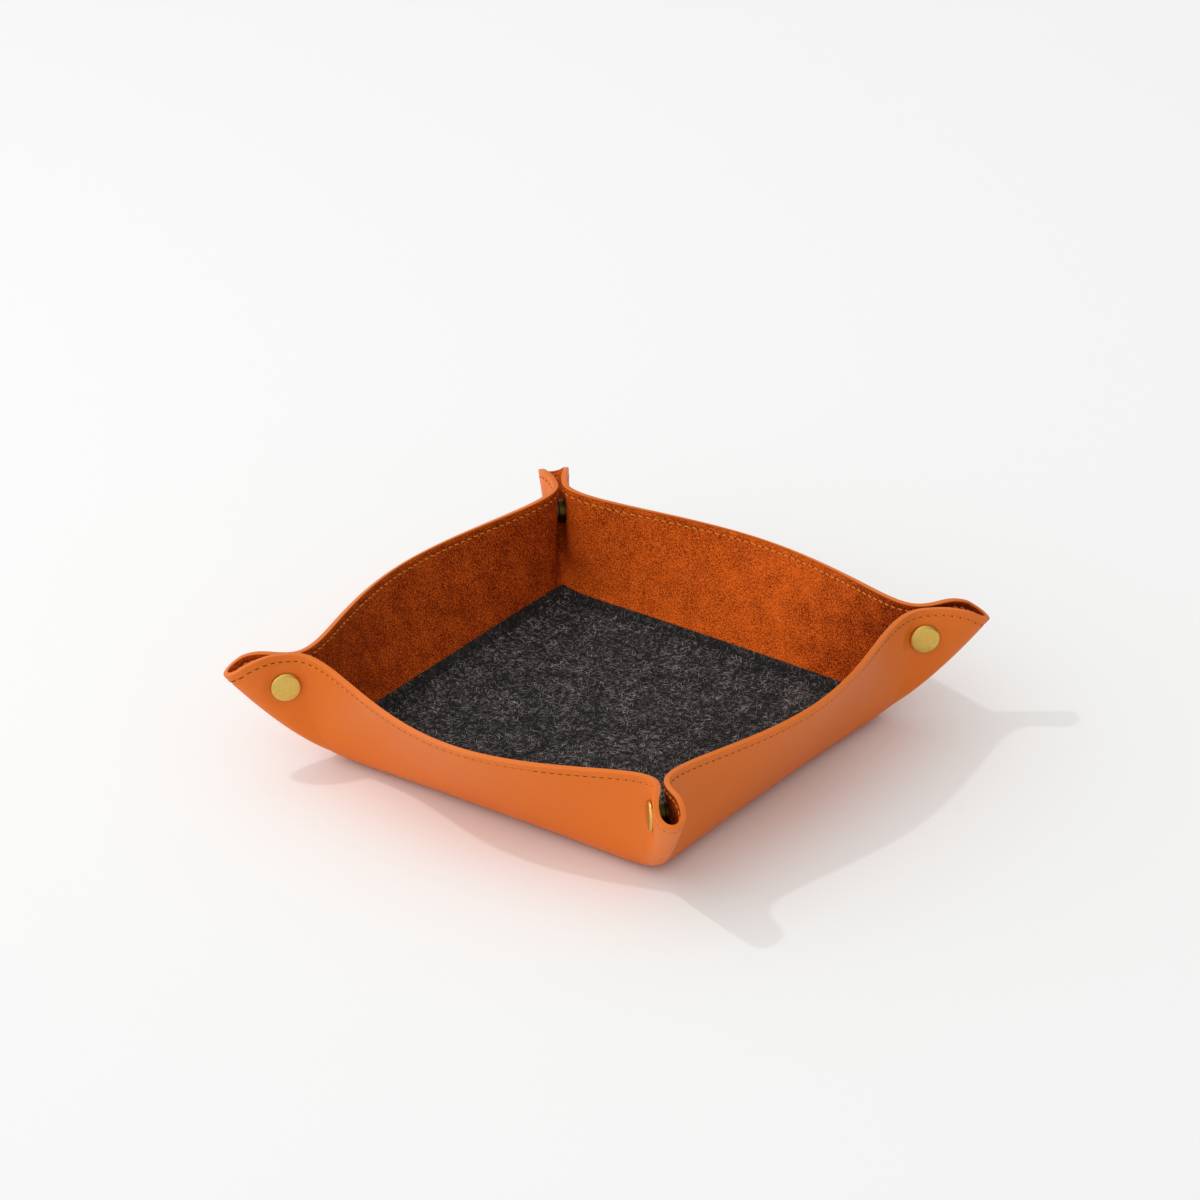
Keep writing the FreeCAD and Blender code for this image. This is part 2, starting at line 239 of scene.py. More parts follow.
def rimStations(wall, first, last, spacing):  # shares of the wall at even steps along its rim
    fine = np.linspace(0.0, 1.0, 2001)
    line = rimLine(fine, wall)
    length = np.concatenate([[0.0], np.cumsum(np.linalg.norm(np.diff(line, axis=0), axis=1))])
    ends = [math.copysign(np.interp(abs(a), fine, length), a) for a in (first, last)]
    count = max(int(round((ends[1] - ends[0]) / spacing)), 2)
    places = np.linspace(ends[0], ends[1], count + 1)
    return np.sign(places) * np.interp(np.abs(places), length, fine)


# Mesh helpers
def clearSelection():
    if bpy.context.object and bpy.context.object.mode != "OBJECT":
        bpy.ops.object.mode_set(mode="OBJECT")
    bpy.ops.object.select_all(action="DESELECT")


def pick(*objects):
    clearSelection()
    for item in objects:
        item.select_set(True)
    bpy.context.view_layer.objects.active = objects[0]


def mergeDoubles(piece, distance):
    pick(piece)
    bpy.ops.object.mode_set(mode="EDIT")
    bpy.ops.mesh.select_all(action="SELECT")
    bpy.ops.mesh.remove_doubles(threshold=distance)
    bpy.ops.object.mode_set(mode="OBJECT")


def clothGrid(name, points, rowSlots, normals=None):
    # a flat grid whose vertices are moved to the folded places, rows first
    rows, columns = points.shape[:2]
    clearSelection()
    bpy.ops.mesh.primitive_grid_add(x_subdivisions=columns - 1, y_subdivisions=rows - 1, size=1)
    piece = bpy.context.object
    piece.name = name
    mesh = piece.data
    mesh.vertices.foreach_set("co", (points * mm).ravel())
    if normals is not None:
        field = mesh.attributes.new("clothNormal", "FLOAT_VECTOR", "POINT")
        field.data.foreach_set("vector", normals.ravel())
    mesh.polygons.foreach_set("material_index", np.repeat(np.array(rowSlots, np.int32), columns - 1))
    mesh.update()
    return piece


def joinCloth(name, parts, materials):
    pick(*parts)
    if len(parts) > 1:
        bpy.ops.object.join()
    piece = bpy.context.object
    piece.name = name
    mergeDoubles(piece, 2e-6)
    mesh = piece.data
    mesh.name = name
    mesh.materials.clear()
    for material in materials:
        mesh.materials.append(material)
    bpy.ops.object.shade_smooth()
    if "clothNormal" in mesh.attributes:
        normals = np.empty(len(mesh.vertices) * 3)
        mesh.attributes["clothNormal"].data.foreach_get("vector", normals)
        mesh.normals_split_custom_set_from_vertices(normals.reshape(-1, 3).tolist())
        mesh.attributes.remove(mesh.attributes["clothNormal"])
    return piece


# Materials
def linear(text):
    channels = [int(text[i:i + 2], 16) / 255 for i in (1, 3, 5)]
    return tuple(c / 12.92 if c <= 0.04045 else ((c + 0.055) / 1.055) ** 2.4 for c in channels) + (1.0,)


def addNode(tree, kind, settings=None, links=None):
    node = tree.nodes.new(kind)
    for key, value in (settings or {}).items():
        if key == "stops":  # the two ends of a colour ramp, each a place and a colour
            for stop, (position, colour) in zip(node.color_ramp.elements, value):
                stop.position = position
                stop.color = linear(colour)
        elif isinstance(key, int) or key in node.inputs:
            node.inputs[key].default_value = value
        else:
            setattr(node, key, value)
    for key, source in (links or {}).items():
        tree.links.new(source, node.inputs[key])
    return node


def newMaterial(name):
    material = bpy.data.materials.new(name)
    material.use_nodes = True
    tree = material.node_tree
    tree.nodes.clear()
    place = addNode(tree, "ShaderNodeTexCoord").outputs["Object"]
    return material, tree, place


leatherLook = {
    "tones": ((0.0, "#D86A14"), (1.0, "#E0721A")),
    "cloud": 22.0,  # mm, soft change of tone
    "pore": 0.9,  # mm, drawn coarser than real pores so that it shows
    "rough": 0.46,
}


def makeLeather():  # top grain leather, dyed an even orange tan and finished satin, with fine pores
    material, tree, place = newMaterial("dyed_top_grain_leather")
    cloudScale = 1 / (leatherLook["cloud"] * mm)
    cloud = addNode(tree, "ShaderNodeTexNoise", {"Scale": cloudScale, "Detail": 3.0}, {"Vector": place})
    tone = addNode(tree, "ShaderNodeValToRGB", {"stops": leatherLook["tones"]}, {0: cloud.outputs[0]})
    poreScale = 1 / (leatherLook["pore"] * mm)
    pores = addNode(tree, "ShaderNodeTexVoronoi", {"Scale": poreScale}, {"Vector": place})
    height = pores.outputs["Distance"]
    bump = addNode(tree, "ShaderNodeBump", {"Strength": 0.12, "Distance": 0.00006}, {"Height": height})
    shader = addNode(
        tree,
        "ShaderNodeBsdfPrincipled",
        {"Roughness": leatherLook["rough"], "Specular IOR Level": 0.28},
        {"Base Color": tone.outputs[0], "Normal": bump.outputs[0]},
    )
    addNode(tree, "ShaderNodeOutputMaterial", links={"Surface": shader.outputs[0]})
    return material


# the cut edge's tones: partly its paler dye, partly painted highlight for the light the upturned edge
# catches
edgeDyeAndPaintedHighlightLook = {"tones": ((0.35, "#F88832"), (0.65, "#FFA652")), "fibre": 0.5, "rough": 0.7}  # fibre in mm


def makeEdgeDyeAndPaintedHighlight():  # cut and dyed leather edge: a flat line, rougher than the face and paler, partly from its dye and partly painted highlight for the light that the upturned edge catches
    material, tree, place = newMaterial("dyed_cut_edge_and_painted_highlight")
    fibreScale = 1 / (edgeDyeAndPaintedHighlightLook["fibre"] * mm)
    fibres = addNode(tree, "ShaderNodeTexNoise", {"Scale": fibreScale, "Detail": 3.0}, {"Vector": place})
    tone = addNode(tree, "ShaderNodeValToRGB", {"stops": edgeDyeAndPaintedHighlightLook["tones"]}, {0: fibres.outputs[0]})
    height = fibres.outputs[0]
    bump = addNode(tree, "ShaderNodeBump", {"Strength": 0.4, "Distance": 0.00015}, {"Height": height})
    shader = addNode(
        tree,
        "ShaderNodeBsdfPrincipled",
        {"Roughness": edgeDyeAndPaintedHighlightLook["rough"], "Specular IOR Level": 0.15},
        {"Base Color": tone.outputs[0], "Normal": bump.outputs[0]},
    )
    addNode(tree, "ShaderNodeOutputMaterial", links={"Surface": shader.outputs[0]})
    return material


suedeLook = {
    "tones": ((0.41, "#681900"), (0.73, "#EC6A1C")),
    "nap": 0.55,  # mm, one tuft
    "patch": 9.0,  # mm, brushed patch
    "patchShare": 0.2,
    "lean": (-0.1, 0.0, 0.0),  # painted light: a lining wall that faces this way, towards the tent's bright side, is drawn lighter
    "paintedShadeRight": {"From Min": 0.015, "From Max": 0.09, "To Max": -0.15},  # painted shade: from and to these m to the right, the lining is drawn darker towards the shaded back-right corner
    "rough": 0.95,
}


def makeSuede():  # suede split: matt rust brown, its short nap brushed into light and dark grains, with painted light by the way each wall faces and painted shade towards the right
    material, tree, place = newMaterial("suede_split")
    napScale = 1 / (suedeLook["nap"] * mm)
    patchScale = 1 / (suedeLook["patch"] * mm)
    nap = addNode(
        tree, "ShaderNodeTexNoise", {"Scale": napScale, "Detail": 2.0, "Roughness": 0.6}, {"Vector": place}
    )
    patch = addNode(tree, "ShaderNodeTexNoise", {"Scale": patchScale, "Detail": 3.0}, {"Vector": place})
    napAndPaintedLight = addNode(
        tree,
        "ShaderNodeMath",
        {"operation": "MULTIPLY_ADD", 1: suedeLook["patchShare"]},
        {0: patch.outputs[0], 2: nap.outputs[0]},
    )
    # painted light: the lining's tone rises where its normal faces the tent's bright side
    facing = addNode(
        tree,
        "ShaderNodeVectorMath",
        {"operation": "DOT_PRODUCT", 1: suedeLook["lean"]},
        {0: addNode(tree, "ShaderNodeNewGeometry").outputs["Normal"]},
    )
    # painted shade: the lining's tone falls towards the right, at the back-right corner
    across = addNode(tree, "ShaderNodeSeparateXYZ", links={0: place}).outputs["X"]
    paintedShadeRight = addNode(
        tree,
        "ShaderNodeMapRange",
        {"interpolation_type": "SMOOTHSTEP", **suedeLook["paintedShadeRight"]},
        {"Value": across},
    )
    for change in (facing.outputs["Value"], paintedShadeRight.outputs[0]):
        napAndPaintedLight = addNode(tree, "ShaderNodeMath", {"operation": "ADD"}, {0: napAndPaintedLight.outputs[0], 1: change})
    tone = addNode(tree, "ShaderNodeValToRGB", {"stops": suedeLook["tones"]}, {0: napAndPaintedLight.outputs[0]})
    bump = addNode(tree, "ShaderNodeBump", {"Strength": 0.7, "Distance": 0.0003}, {"Height": nap.outputs[0]})
    shader = addNode(
        tree,
        "ShaderNodeBsdfPrincipled",
        {"Roughness": suedeLook["rough"], "Specular IOR Level": 0.1},
        {"Base Color": tone.outputs[0], "Normal": bump.outputs[0]},
    )
    addNode(tree, "ShaderNodeOutputMaterial", links={"Surface": shader.outputs[0]})
    return material


feltLook = {
    "ground": ((0.3, "#1A1919"), (0.7, "#262423")),
    "fibre": "#A8A2A0",
    "length": 3.4,  # mm, one pale fibre
    "width": 0.28,  # mm, drawn coarser than real wool so that it shows
    "lies": (0.2, 0.85, 1.5, 2.1, 2.75),  # radians, the ways that the fibres lie
    "apart": 0.1,  # m for each radian, so that no two ways share a pattern
    "crest": {"From Min": 0.705, "From Max": 0.8},  # the part of each streak that shows pale
    "clump": 9.0,  # mm, patches with more pale fibres
    "patch": {"From Min": 0.34, "From Max": 0.66, "To Min": 0.4},
}


def makeFelt():  # pressed wool felt: charcoal, with short pale fibres lying every way in loose patches
    material, tree, place = newMaterial("pressed_wool_felt")
    clumpScale = 1 / (feltLook["clump"] * mm)
    clump = addNode(tree, "ShaderNodeTexNoise", {"Scale": clumpScale, "Detail": 4.0}, {"Vector": place})
    patch = addNode(tree, "ShaderNodeMapRange", feltLook["patch"], {"Value": clump.outputs[0]})
    crests = []
    for lie in feltLook["lies"]:
        laid = addNode(
            tree,
            "ShaderNodeMapping",
            {
                "vector_type": "TEXTURE",
                "Location": (lie * feltLook["apart"], 0.0, 0.0),
                "Rotation": (0.0, 0.0, lie),
                "Scale": (feltLook["length"] * mm, feltLook["width"] * mm, feltLook["length"] * mm),
            },
            {"Vector": place},
        )
        streak = addNode(
            tree,
            "ShaderNodeTexNoise",
            {"Scale": 1.0, "Detail": 0.0, "Distortion": 0.3},
            {"Vector": laid.outputs[0]},
        )
        crest = addNode(tree, "ShaderNodeMapRange", feltLook["crest"], {"Value": streak.outputs[0]})
        crests.append(crest.outputs[0])
    fibres = crests[0]
    for crest in crests[1:]:
        fibres = addNode(tree, "ShaderNodeMath", {"operation": "MAXIMUM"}, {0: fibres, 1: crest}).outputs[0]
    middle = addNode(tree, "ShaderNodeAttribute", {"attribute_name": "padMiddle"}).outputs["Fac"]
    pale = patch.outputs[0]
    for factor in (fibres, middle):
        pale = addNode(tree, "ShaderNodeMath", {"operation": "MULTIPLY"}, {0: pale, 1: factor}).outputs[0]
    ground = addNode(tree, "ShaderNodeValToRGB", {"stops": feltLook["ground"]}, {0: clump.outputs[0]})
    tone = addNode(
        tree,
        "ShaderNodeMix",
        {"data_type": "RGBA", 7: linear(feltLook["fibre"])},
        {0: pale, 6: ground.outputs[0]},
    )
    bump = addNode(tree, "ShaderNodeBump", {"Strength": 0.5, "Distance": 0.0003}, {"Height": fibres})
    shader = addNode(
        tree,
        "ShaderNodeBsdfPrincipled",
        {"Roughness": 1.0, "Specular IOR Level": 0.1},
        {"Base Color": tone.outputs[2], "Normal": bump.outputs[0]},
    )
    addNode(tree, "ShaderNodeOutputMaterial", links={"Surface": shader.outputs[0]})
    return material


brassLook = {
    "tones": ((0.0, "#C8A24A"), (1.0, "#DEBE68")),
    "wear": 1.6,  # mm, soft patches of wear
    "rough": {"From Min": 0.3, "From Max": 0.7, "To Min": 0.2, "To Max": 0.28},
    # painted shade: the snap's inner halves are drawn dark brass, standing for the shadow inside the ears
    "paintedShadeTones": ((0.0, "#3A2E14"), (1.0, "#5A4820")),
    "paintedShadeCloud": 1.2,  # mm
    "paintedShadeRough": 0.34,
}


def makeBrass():  # brass plate, tumbled to a soft antique gloss
    material, tree, place = newMaterial("tumbled_brass_plate")
    wearScale = 1 / (brassLook["wear"] * mm)
    wear = addNode(tree, "ShaderNodeTexNoise", {"Scale": wearScale, "Detail": 4.0}, {"Vector": place})
    tone = addNode(tree, "ShaderNodeValToRGB", {"stops": brassLook["tones"]}, {0: wear.outputs[0]})
    rough = addNode(tree, "ShaderNodeMapRange", brassLook["rough"], {"Value": wear.outputs[0]})
    shader = addNode(
        tree,
        "ShaderNodeBsdfPrincipled",
        {"Metallic": 1.0},
        {"Base Color": tone.outputs[0], "Roughness": rough.outputs[0]},
    )
    addNode(tree, "ShaderNodeOutputMaterial", links={"Surface": shader.outputs[0]})
    return material


def makeBrassWithPaintedShade():  # brass of the snap's inner halves, drawn dark and cloudy as painted shade for the shadow inside the ears
    material, tree, place = newMaterial("brass_with_painted_shade")
    cloudScale = 1 / (brassLook["paintedShadeCloud"] * mm)
    cloud = addNode(tree, "ShaderNodeTexNoise", {"Scale": cloudScale, "Detail": 3.0}, {"Vector": place})
    tone = addNode(tree, "ShaderNodeValToRGB", {"stops": brassLook["paintedShadeTones"]}, {0: cloud.outputs[0]})
    shader = addNode(
        tree,
        "ShaderNodeBsdfPrincipled",
        {"Metallic": 1.0, "Roughness": brassLook["paintedShadeRough"]},
        {"Base Color": tone.outputs[0]},
    )
    addNode(tree, "ShaderNodeOutputMaterial", links={"Surface": shader.outputs[0]})
    return material


fibreLook = {  # dark and light strands, and roughness
    "tan_polyester_thread": ("#CC7626", "#E88E3A", 0.6),  # a little lighter than the leather
    "charcoal_polyester_thread": ("#161515", "#222020", 0.8),  # nearly black, sunk in the felt
    "needle_hole_shade": ("#5E2406", "#8A3C0C", 0.9),  # painted shade: dark brown standing for the shadow in the pricked holes
}
strandWidth = 0.35  # mm


def makeFibre(name):  # spun fibres, and the painted shade of the needle holes drawn the same way: the tone changes from strand to strand
    dark, light, rough = fibreLook[name]
    material, tree, place = newMaterial(name)
    strandScale = 1 / (strandWidth * mm)
    strands = addNode(tree, "ShaderNodeTexNoise", {"Scale": strandScale, "Detail": 2.0}, {"Vector": place})
    height = strands.outputs[0]
    tone = addNode(tree, "ShaderNodeValToRGB", {"stops": ((0.0, dark), (1.0, light))}, {0: height})
    bump = addNode(tree, "ShaderNodeBump", {"Strength": 0.4, "Distance": 0.0001}, {"Height": height})
    shader = addNode(
        tree,
        "ShaderNodeBsdfPrincipled",
        {"Roughness": rough, "Specular IOR Level": 0.2},
        {"Base Color": tone.outputs[0], "Normal": bump.outputs[0]},
    )
    addNode(tree, "ShaderNodeOutputMaterial", links={"Surface": shader.outputs[0]})
    return material


leather = makeLeather()
edgeDyeAndPaintedHighlight = makeEdgeDyeAndPaintedHighlight()
suede = makeSuede()
felt = makeFelt()
brass = makeBrass()
brassWithPaintedShade = makeBrassWithPaintedShade()
tanThread = makeFibre("tan_polyester_thread")
darkThread = makeFibre("charcoal_polyester_thread")
# painted shade: the needle holes' dark mouths
needleHolePaintedShade = makeFibre("needle_hole_shade")
print("materials made")

# Where a wall is cut for the half of its ear that opens, and a bend line and fade for that half, which
# bendFlap works out but does not apply
flap = {
    "cutAt": 0.2,  # share of half a wall
    "foldFoot": (80.0, 0.0),  # mm to the right and up, seen from outside: the line where the bend ends
    "foldRim": (36.0, 50.0),
    "fade": 28.0,  # mm from that line to where the ear turns whole
}


def bendFlap(piece, wall):
    (footX, footZ), (rimX, rimZ) = flap["foldFoot"], flap["foldRim"]
    away = unit(np.array([rimZ - footZ, 0.0, footX - rimX]))
    end = np.array([footX, 0.0, footZ])
    start = end + flap["fade"] * away
    start, end = turned(start, wall) * mm, turned(end, wall) * mm
    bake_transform(piece)


stitch = {  # the rim's seam, in mm
    "below": 3.3,  # rim to the line of stitches
    "pitch": 3.55,
    "radius": 0.33,
    "lift": 0.1,  # thread's middle over the groove's floor
    "fullness": 0.6,  # under 1, so that a stitch has full ends
    "slant": 0.16,  # radians
    "groove": 0.2,
    "grooveHalf": 0.9,
    # a stitch's length, and half sizes of the painted shade that stands for a pricked hole's dark mouth: the
    # suede's nap closes over its holes
    "outside": {"facing": -1, "length": 1.75, "hole": (1.2, 0.38, 0.09)},
    "inside": {"facing": 1, "length": 2.4, "hole": (0.45, 0.25, 0.08)},
}
sheet = {  # rows of the sheets' meshes, in mm below the rim
    "wallRows": 26,
    "fineFrom": 6.4,
    "grooveRows": (5.4, 4.6, 4.1, 3.8, 3.5, 3.3, 3.1, 2.9, 2.7, 2.4, 2.1, 1.7),
    "leatherRows": (1.3, 0.9),
    "edgeFrom": 0.6,  # where the cut edge's dye and painted highlight start
    "edgeCorner": 0.3,  # radius of the cut edge's two corners
    "edgeTurns": 5,
    "edgeFlats": 4,
    "lip": ((0.85, 0.05), (1.0, 0.8)),  # the edge's turn over the lining, and mm in from the lining's face
    "backRows": (1.2, 2.0, 2.6, 3.1, 3.6, 4.2, 5.2),
    "liningBackRows": (5.2, 4.0, 2.6, 1.4),
    "liningEdge": ((0.95, 0.1), (0.8, 0.5), (0.92, 0.88)),  # and the share of the lining's thickness
    "liningRows": (1.2,),
    "leatherSpacing": 1.15,  # along the rim
    "liningSpacing": 1.4,
    "floorSpacing": 2.4,
}


def grooveDepth(below):
    return stitch["groove"] * float(1 - ease(abs(below - stitch["below"]) / stitch["grooveHalf"]))


# A section's rows run once round the sheet's thickness: share of the wall or None, mm below the rim, offset
def leatherSection():
    outer = -fold["leather"]
    corner = sheet["edgeCorner"]
    shares = np.linspace(0.0, 1.0, sheet["wallRows"])
    turns = np.linspace(0.0, math.pi / 2, sheet["edgeTurns"])
    rounding = [(corner * (1 - math.sin(t)), corner * (1 - math.cos(t))) for t in turns]
    flats = np.linspace(outer + 1.5 * corner, liningFace - 1.5 * corner, sheet["edgeFlats"])
    rows = [(share, None, outer) for share in shares]
    near = sheet["grooveRows"] + sheet["leatherRows"]
    rows += [(None, below, outer + grooveDepth(below)) for below in near]
    edgeStart = len(rows) + 1
    rows.append((None, sheet["edgeFrom"], outer))
    rows += [(None, below, outer + inset) for below, inset in rounding]
    rows += [(None, 0.0, offset) for offset in flats]
    rows += [(None, below, liningFace - inset) for below, inset in rounding[::-1]]
    edgeEnd = len(rows)
    rows += [(None, below, liningFace - inset) for below, inset in sheet["lip"]]
    rows += [(None, below, 0.0) for below in sheet["backRows"]]
    rows += [(share, None, 0.0) for share in shares[::-1]]
    slots = [1 if edgeStart <= i <= edgeEnd else 0 for i in range(len(rows) - 1)]
    return rows, slots


def liningSection():
    shares = np.linspace(0.0, 1.0, sheet["wallRows"])
    near = sheet["liningRows"] + sheet["grooveRows"][::-1]
    rows = [(share, None, fold["glue"]) for share in shares]
    rows += [(None, below, fold["glue"]) for below in sheet["liningBackRows"]]
    rows += [(None, below, fold["glue"] + share * fold["suede"]) for below, share in sheet["liningEdge"]]
    rows += [(None, below, liningFace - grooveDepth(below)) for below in near]
    rows += [(share, None, liningFace) for share in shares[::-1]]
    return rows, [0] * (len(rows) - 1)


def clothBand(name, wall, along, rows, slots):  # one length of wall, with its thickness and closed ends
    scale = rimScale(along, wall)
    lines = []
    for share, below, offset in rows:
        up = 1.0 - below / scale if share is None else share * (1.0 - sheet["fineFrom"] / scale)
        lines.append(skin(along, up, offset, wall))
    grid = np.stack([line[0] for line in lines])
    across = np.stack([line[1] for line in lines])
    ahead = np.concatenate([grid[1:], grid[-1:]])
    behind = np.concatenate([grid[:1], grid[:-1]])
    facing = unit(np.cross(across, ahead - behind))
    middle = 0.5 * (grid + grid[::-1])  # half way through the thickness, where the ends close
    grid = np.concatenate([middle[:, :1], grid, middle[:, -1:]], axis=1)
    facing = np.concatenate([facing[:, :1], facing, facing[:, -1:]], axis=1)
    foot = 0.5 * (grid[:1] + grid[-1:])
    points = np.concatenate([foot, grid, foot])
    normals = np.concatenate([facing[:1], facing, facing[-1:]])
    return clothGrid(name, points, [slots[0]] + slots + [slots[-1]], normals)


def basePlate(name, low, high):  # the sheet under the tray's floor, between two offsets
    rings = []
    for wall in range(4):
        along = rimStations(wall, -1.0, 1.0, sheet["floorSpacing"])
        rings.append(skin(along, np.zeros_like(along), 0.0, wall)[0])
    ring = np.concatenate(rings + [rings[0][:1]])
    rows = []
    for share, offset in [(0.0, low), (0.5, low), (1.0, low), (1.0, high), (0.5, high), (0.0, high)]:
        row = ring * share
        row[:, 2] = fold["leather"] + offset
        rows.append(row)
    points = np.stack(rows)
    normals = np.zeros_like(points)
    normals[:3, :, 2] = -1.0
    normals[3:, :, 2] = 1.0
    return clothGrid(name, points, [0] * (len(rows) - 1), normals)


def makeSheet(name, section, plate, materials, spacing):
    rows, slots = section
    parts = [basePlate(name + "_floor", *plate)]
    for wall in range(4):
        along = rimStations(wall, -1.0, flap["cutAt"], spacing)
        parts.append(clothBand("%s_wall_%d" % (name, wall), wall, along, rows, slots))
    body = joinCloth(name, parts, materials)
    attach(body, "tray")
    ears = []
    for wall in range(4):
        along = rimStations(wall, flap["cutAt"], 1.0, spacing)
        band = clothBand("%s_ear_%d" % (name, wall), wall, along, rows, slots)
        ear = joinCloth("%s_ear_%s" % (name, cornerNames[wall]), [band], materials)
        bendFlap(ear, wall)
        ears.append(ear)
    print(name, "made")
    return body, ears


leatherBody, leatherEars = makeSheet(
    "tan_leather", leatherSection(), (-fold["leather"], 0.0), [leather, edgeDyeAndPaintedHighlight], sheet["leatherSpacing"]
)
liningBody, liningEars = makeSheet(
    "rust_lining", liningSection(), (fold["glue"], liningFace), [suede], sheet["liningSpacing"]
)
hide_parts("leather_shell")
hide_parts("suede_lining")

# Felt pad: one soft square that lies on the lining, with a rounded edge and a sewn channel inside it
pad = {
    "half": 83.0,
    "middle": (-1.0, -0.6),  # laid a little to the left and front, as on the photographed tray
    "corner": 2.2,
    "seam": 3.6,  # in from the edge
    "channel": 0.6,  # depth
    "channelHalf": 1.4,
    "edgeTone": 0.45,  # share of pale fibres left outside the seam
    "toneSpan": (3.0, 4.6),  # in from the edge, where the fibres grow to their full share
    # in from the edge and down from the top, from the lower edge to the upper face
    "edge": ((0.35, 3.5), (0.0, 3.0), (0.0, 1.2), (0.1, 0.66), (0.36, 0.28), (0.8, 0.07), (1.3, 0.0)),
    "rows": (1.8, 2.2, 2.5, 2.8, 3.1, 3.35, 3.6, 3.85, 4.1, 4.4, 4.7, 5.1, 5.6, 6.3, 7.2, 8.6),
    "spacing": 2.5,
}


def underPad(along, up, wall):  # a point just over the lining, turned back to the front wall
    return turned(skin(along, up, liningFace + fold["glue"], wall)[0], -wall)


def liningHeight(plan):  # height of the lining over each spot on the table, found by steps along the sheet
    height = np.empty(len(plan))
    sector = np.argmax(np.stack([-plan[:, 1], plan[:, 0], plan[:, 1], -plan[:, 0]]), axis=0)
    step = 1e-3
    longest = 0.2
    tries = 25
    for wall in range(4):
        chosen = sector == wall
        spot = turned(np.column_stack([plan[chosen], np.zeros(chosen.sum())]), -wall)[:, :2]
        # first guesses, kept clear of the creases and the rim
        along = np.clip(0.8 * spot[:, 0] / np.maximum(-spot[:, 1], step), -0.98, 0.98)
        up = np.clip((-spot[:, 1] - fold["baseHalf"] + fold["bendRun"]) / fold["wallSlant"], 0.0, 0.6)
        for attempt in range(tries):
            here = underPad(along, up, wall)
            aside = np.where(along > 0, -step, step)
            byAlong = (underPad(along + aside, up, wall) - here)[:, :2] / aside[:, None]
            byUp = (underPad(along, up + step, wall) - here)[:, :2] / step
            miss = spot - here[:, :2]
            size = byAlong[:, 0] * byUp[:, 1] - byAlong[:, 1] * byUp[:, 0]
            moveAlong = (miss[:, 0] * byUp[:, 1] - miss[:, 1] * byUp[:, 0]) / size
            moveUp = (byAlong[:, 0] * miss[:, 1] - byAlong[:, 1] * miss[:, 0]) / size
            along = np.clip(along + np.clip(moveAlong, -longest, longest), -1.0, 1.0)
            up = np.clip(up + np.clip(moveUp, -longest, longest), 0.0, 0.8)
        height[chosen] = underPad(along, up, wall)[:, 2]
    return height


def roundCorners(plan):  # a square's corners drawn in to a radius
    start = pad["half"] - pad["corner"]
    past = np.clip((np.abs(plan) - start) / pad["corner"], 0.0, 1.0)
    drawn = past * np.sqrt(1.0 - past[..., ::-1] ** 2 / 2)
    inside = np.minimum(np.abs(plan), start)
    return np.sign(plan) * (inside + drawn * pad["corner"])


def seamDrop(inset):
    return pad["channel"] * (1 - ease(np.abs(inset - pad["seam"]) / pad["channelHalf"]))


def layPad(reach, side, half):  # plan of a grid of square rings, and the lining's height under it
    x = side * np.minimum(reach, half)
    y = side[:, None] * np.minimum(reach[:, None], half)
    plan = roundCorners(np.stack([x, y], axis=-1)) + np.array(pad["middle"])
    return plan, liningHeight(plan.reshape(-1, 2)).reshape(half.shape)


def makeFeltPad():
    edge = np.array(pad["edge"])
    inner = pad["rows"][-1]
    count = int(round((pad["half"] - inner) / pad["spacing"]))
    insets = np.concatenate([edge[:, 0], pad["rows"], np.linspace(inner, pad["half"], count + 1)[1:]])
    drops = np.concatenate([edge[:, 1], np.zeros(len(insets) - len(edge))])
    ring = np.concatenate([np.arange(len(insets)), np.arange(len(insets) - 1)[::-1]])
    side = np.where(np.arange(len(ring)) < len(insets), -1.0, 1.0)
    outer = np.minimum(ring[:, None], ring)  # the ring that each point of the grid lies on
    inset = insets[outer]
    half = pad["half"] - inset
    plan, height = layPad(pad["half"] - insets[ring], side, half)
    top = np.dstack([plan, height + fold["felt"] - drops[outer] - seamDrop(inset)])
    plan, height = layPad(pad["half"] - np.maximum(insets, insets[0])[ring], side, half)
    under = np.dstack([plan, height])[::-1]
    tone = pad["edgeTone"] + (1 - pad["edgeTone"]) * easeOver(inset, pad["toneSpan"])
    faces = []
    for name, points in (("felt_top", top), ("felt_under", under)):
        face = clothGrid(name, points, [0] * (len(ring) - 1))
        field = face.data.attributes.new("padMiddle", "FLOAT", "POINT")
        field.data.foreach_set("value", tone.ravel())
        faces.append(face)
    piece = joinCloth("charcoal_felt_pad", faces, [felt])
    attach(piece, "tray")
    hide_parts("felt_pad")
    return piece


feltPad = makeFeltPad()
print("felt pad made")


# Threads: one stitch is shaped from a ball, and copied along each seam
def stitchForm():
    clearSelection()
    lying = (0.0, math.pi / 2, 0.0)
    bpy.ops.mesh.primitive_uv_sphere_add(segments=8, ring_count=6, radius=1.0, rotation=lying)
    bpy.ops.object.transform_apply(location=False, rotation=True, scale=False)
    form = bpy.context.object
    points = np.array([v.co[:] for v in form.data.vertices])
    points[:, 0] = np.sign(points[:, 0]) * np.abs(points[:, 0]) ** stitch["fullness"]
    faces = [tuple(p.vertices) for p in form.data.polygons]
    bpy.data.objects.remove(form)
    return points, faces


stitchPoints, stitchFaces = stitchForm()


